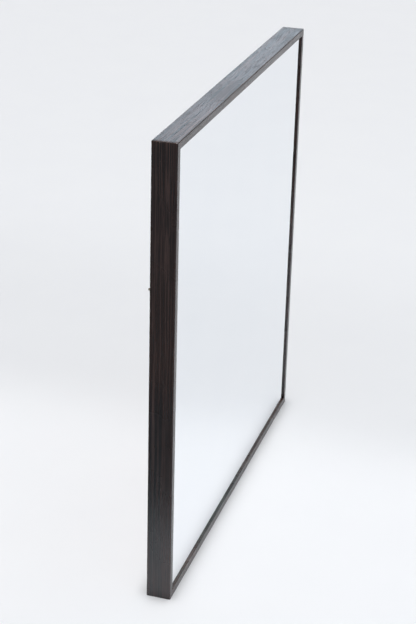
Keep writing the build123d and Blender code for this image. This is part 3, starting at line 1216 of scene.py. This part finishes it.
def hang_eye(source, cad_node):
    """Puts a screw eye where the frame has one."""
    low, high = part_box(cad_node)
    piece = place_copy(source, cad_node + "_wire")
    place = ((low.x + high.x) / 2, low.y + EYE_SHANK, (low.z + high.z) / 2)
    stand_on(piece, place, (1, 0, 0))
    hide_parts(cad_node)
    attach(piece, "frame")
    print(cad_node, triangles(piece), "triangles")


eye = make_screw_eye()
hang_eye(eye, "left_eye")
hang_eye(eye, "right_eye")
bpy.data.objects.remove(eye)


# %% Bumpers
def make_bumper():
    """A rubber bumper with a rounded rim and a dimple, standing on the origin."""
    piece = disc("bumper", (0, 0, 0), BUMPER_RADIUS, BUMPER_HEIGHT)
    round_edges(piece, above(BUMPER_HEIGHT - HAIR), BUMPER_ROUND, 6)
    pick_faces(piece, lambda middle, normal: normal.z > 0.9999)
    bpy.ops.mesh.inset(thickness=BUMPER_LAND)
    for depth in DIMPLE_DEPTHS:
        bpy.ops.mesh.inset(thickness=DIMPLE_STEP, depth=-depth)
    done(piece)
    pick_faces(piece, lambda middle, normal: normal.z < -0.9999)
    bpy.ops.mesh.inset(thickness=FOOT_RING)
    done(piece)
    clean(piece)
    smooth(piece, 50)
    piece.data.materials.append(RUBBER)
    return piece


def bumper_pair():
    """The two bumpers, joined, because neither of them moves."""
    low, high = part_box("wall_bumpers")
    left = make_bumper()
    right = place_copy(left, "bumper_right")
    level = (low.z + high.z) / 2
    stand_on(left, (low.x + BUMPER_RADIUS, low.y, level), (1, 0, 0))
    stand_on(right, (high.x - BUMPER_RADIUS, low.y, level), (1, 0, 0))
    piece = join([left, right])
    piece.name = "bumper_pair"
    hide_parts("wall_bumpers")
    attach(piece, "frame")
    print("bumper_pair", triangles(piece), "triangles")


bumper_pair()

# %% [markdown]
# ## Camera, floor and light
#
# The frame stands on a pale floor under large soft lights. The camera looks down its length from the left.
# The floor is lit most around the frame. Behind the camera it falls off, so the side of the frame, which
# mirrors that part of the room, stays dark.

# %% Camera
def add_camera():
    """A long lens at standing height, looking along the frame."""
    data = bpy.data.cameras.new("camera")
    data.sensor_width = 36.0
    data.lens = 87.96
    camera = bpy.data.objects.new("camera", data)
    camera.location = (-2.5484, -0.7098, 1.5521)
    camera.rotation_euler = (math.radians(66.1045), math.radians(-1.4286), math.radians(-72.916))
    bpy.context.scene.collection.objects.link(camera)
    bpy.context.scene.camera = camera


add_camera()
print("lens", round(bpy.context.scene.camera.data.lens, 1), "mm")


# %% Floor and lights
def add_floor():
    """A plain pale floor."""
    bpy.ops.object.select_all(action="DESELECT")
    bpy.ops.mesh.primitive_plane_add(size=60, location=(0, 0, 0))
    floor = bpy.context.object
    floor.name = "floor"
    material, tree, shader, coords = new_material("pale_floor")
    grain = node(tree, "TexNoise", {}, Vector=coords, Scale=6.0, Detail=2.0)
    tone = blend_colour(tree, grain.outputs["Fac"], (0.80, 0.81, 0.835), (0.82, 0.83, 0.85))
    feed(tree, shader, "Base Color", tone)
    shader.inputs["Roughness"].default_value = 0.9
    floor.data.materials.append(material)


def soft_light(name, place, target, size, power, colour=(1.0, 1.0, 1.0), spread=180.0):
    """A rectangular soft box at a place, turned to a target. A small spread keeps its light under it."""
    data = bpy.data.lights.new(name, "AREA")
    data.shape = "RECTANGLE"
    data.size, data.size_y = size
    data.energy = power
    data.color = colour
    data.spread = math.radians(spread)
    light = bpy.data.objects.new(name, data)
    light.location = place
    direction = Vector(target) - Vector(place)
    light.rotation_euler = direction.to_track_quat("-Z", "Y").to_euler()
    light.visible_camera = False
    bpy.context.scene.collection.objects.link(light)


def add_world(strength):
    """Even pale light from all round."""
    world = bpy.data.worlds.new("pale_room")
    world.use_nodes = True
    sky = world.node_tree.nodes["Background"]
    sky.inputs["Color"].default_value = (0.95, 0.97, 1.0, 1.0)
    sky.inputs["Strength"].default_value = strength
    bpy.context.scene.world = world


add_floor()
add_world(0.225)
soft_light("overhead_box", (5.32, 1.0, 2.0), (5.32, 1.0, 0.0), (12.0, 16.0), 462.0, spread=5.0)
soft_light("near_box", (-0.21, 0.0, 1.9), (-0.21, 0.0, 0.0), (0.92, 2.4), 0.9, spread=12.0)
soft_light("deep_box", (4.1, 0.4, 2.2), (4.1, 0.4, 0.0), (6.0, 5.0), 5.6, spread=24.0)
soft_light("far_box", (6.5, 1.9, 3.2), (0.0, 0.0, 2.8), (4.0, 3.0), 7.7, (0.72, 0.865, 1.0), spread=60.0)
soft_light("front_box", (5.5, -1.9, 3.9), (0.0, 0.0, 0.2), (2.2, 1.6), 0.8, (0.92, 1.0, 0.97), spread=40.0)
bpy.context.scene.view_settings.view_transform = "Standard"
print("lights:", len(bpy.data.lights))
